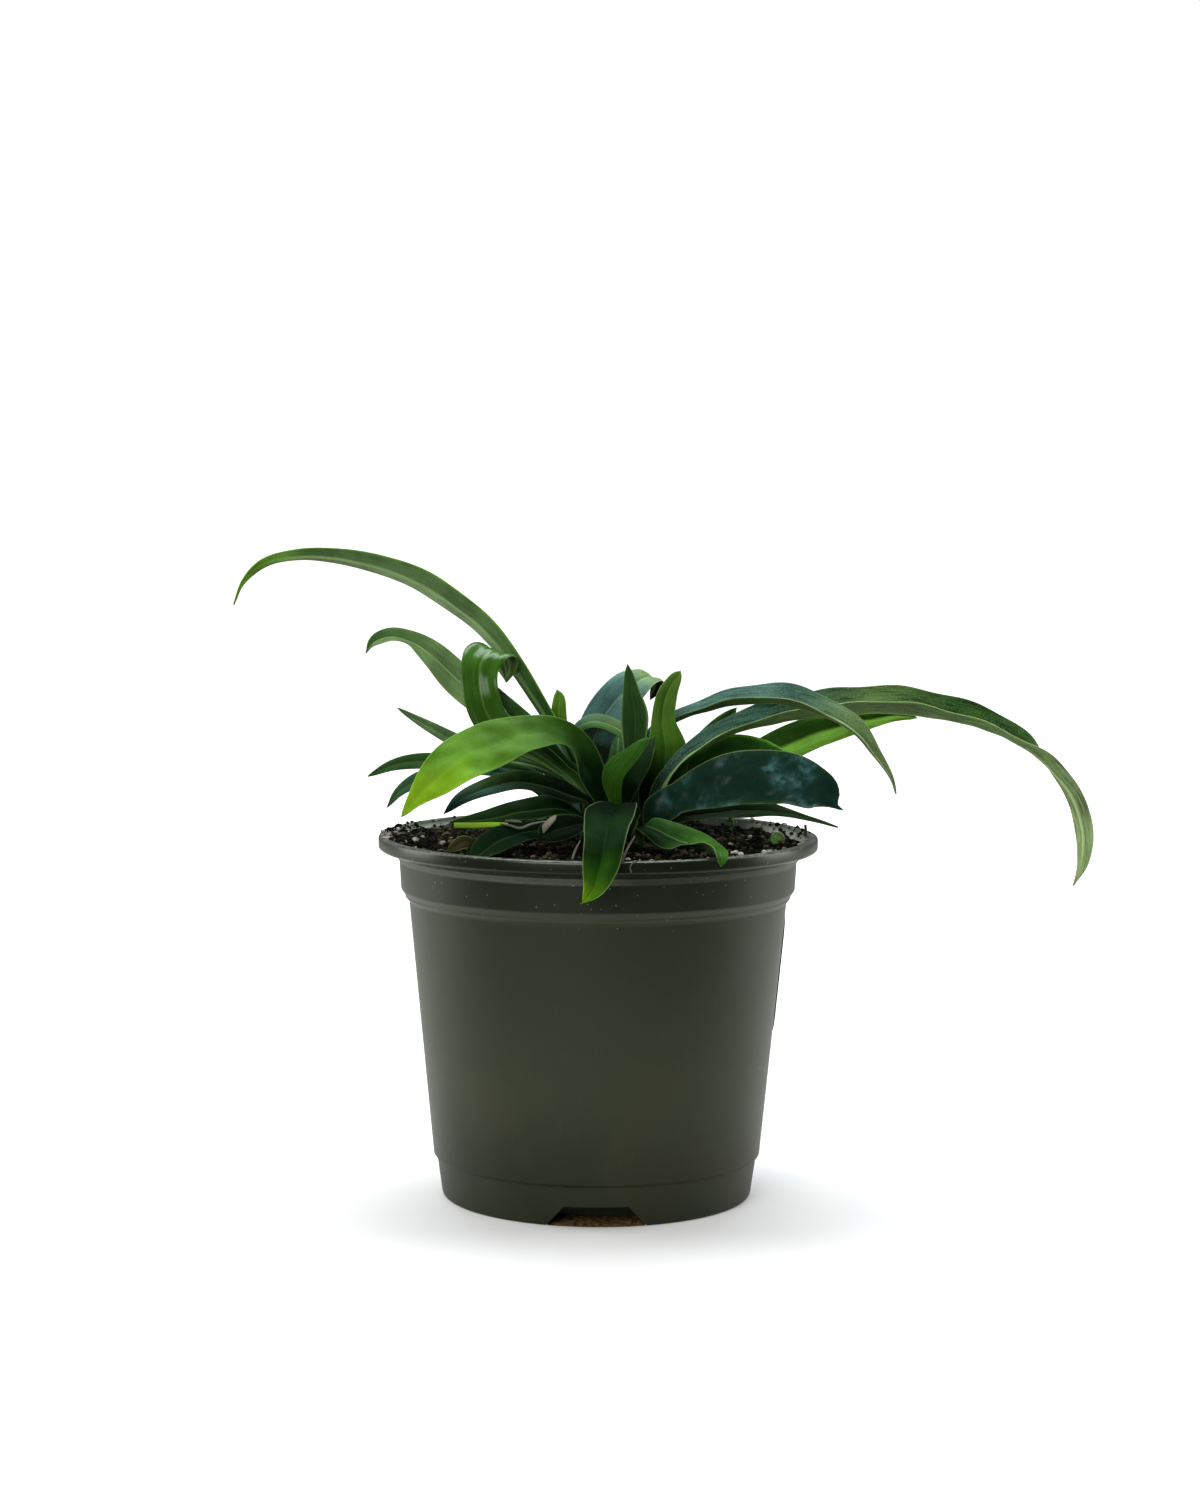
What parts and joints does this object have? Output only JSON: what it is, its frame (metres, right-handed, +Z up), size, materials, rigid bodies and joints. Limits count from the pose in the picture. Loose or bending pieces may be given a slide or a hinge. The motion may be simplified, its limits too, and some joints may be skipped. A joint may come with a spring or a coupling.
{
  "type": "potted fern",
  "caption": "Small strap-leaved fern growing in a round plastic nursery pot filled with soil; free-standing on the flat base of the pot.",
  "frame": {"origin": "centre of the pot's flat base, on the surface that it stands on", "axes": "+Z up through the rim of the pot; -Y towards the front, where the wide gap in the foot is; +X towards the longest frond"},
  "size_m": [0.2151, 0.1254, 0.1593],
  "materials": {
    "pot_plastic": "satin moulded nursery-pot plastic",
    "soil": "rough damp peat and bark potting mix",
    "label": "plain matt sticker",
    "leaf_bright": "satin living leaf, bright yellow-green",
    "leaf_green": "satin living leaf, mid green",
    "leaf_dark": "satin living leaf, dark green",
    "leaf_blue": "satin living leaf with a blue-grey bloom"
  },
  "bodies": {
    "root": {"crozier_right": "leaf_green", "frond_arch_low_left": "leaf_blue", "frond_arch_right": "leaf_blue", "frond_back_far_left": "leaf_green", "frond_back_far_right": "leaf_dark", "frond_back_left": "leaf_dark", "frond_back_low": "leaf_green", "frond_back_middle": "leaf_blue", "frond_back_right": "leaf_green", "frond_blue_arch": "leaf_blue", "frond_blue_back": "leaf_blue", "frond_bright_right": "leaf_bright", "frond_broad_bright_left": "leaf_bright", "frond_broad_dark_right": "leaf_dark", "frond_curl_front_right": "leaf_green", "frond_curl_left": "leaf_green", "frond_droop_front_left": "leaf_dark", "frond_flat_left": "leaf_dark", "frond_green_right": "leaf_green", "frond_hook_left": "leaf_green", "frond_long_left": "leaf_green", "frond_long_right": "leaf_blue", "frond_over_rim": "leaf_green", "frond_short_front": "leaf_bright", "frond_slim_left_high": "leaf_green", "frond_slim_left_low": "leaf_blue", "frond_slim_left_mid": "leaf_green", "frond_thin_right": "leaf_dark", "frond_tip_back_right": "leaf_green", "frond_torn_front_left": "leaf_dark", "frond_upright_bright": "leaf_bright", "frond_upright_dark": "leaf_dark", "frond_young_back_left": "leaf_bright", "label_side": "label", "pot": "pot_plastic", "soil": "soil", "sprout_front_left": "leaf_bright"}
  },
  "joints": []
}
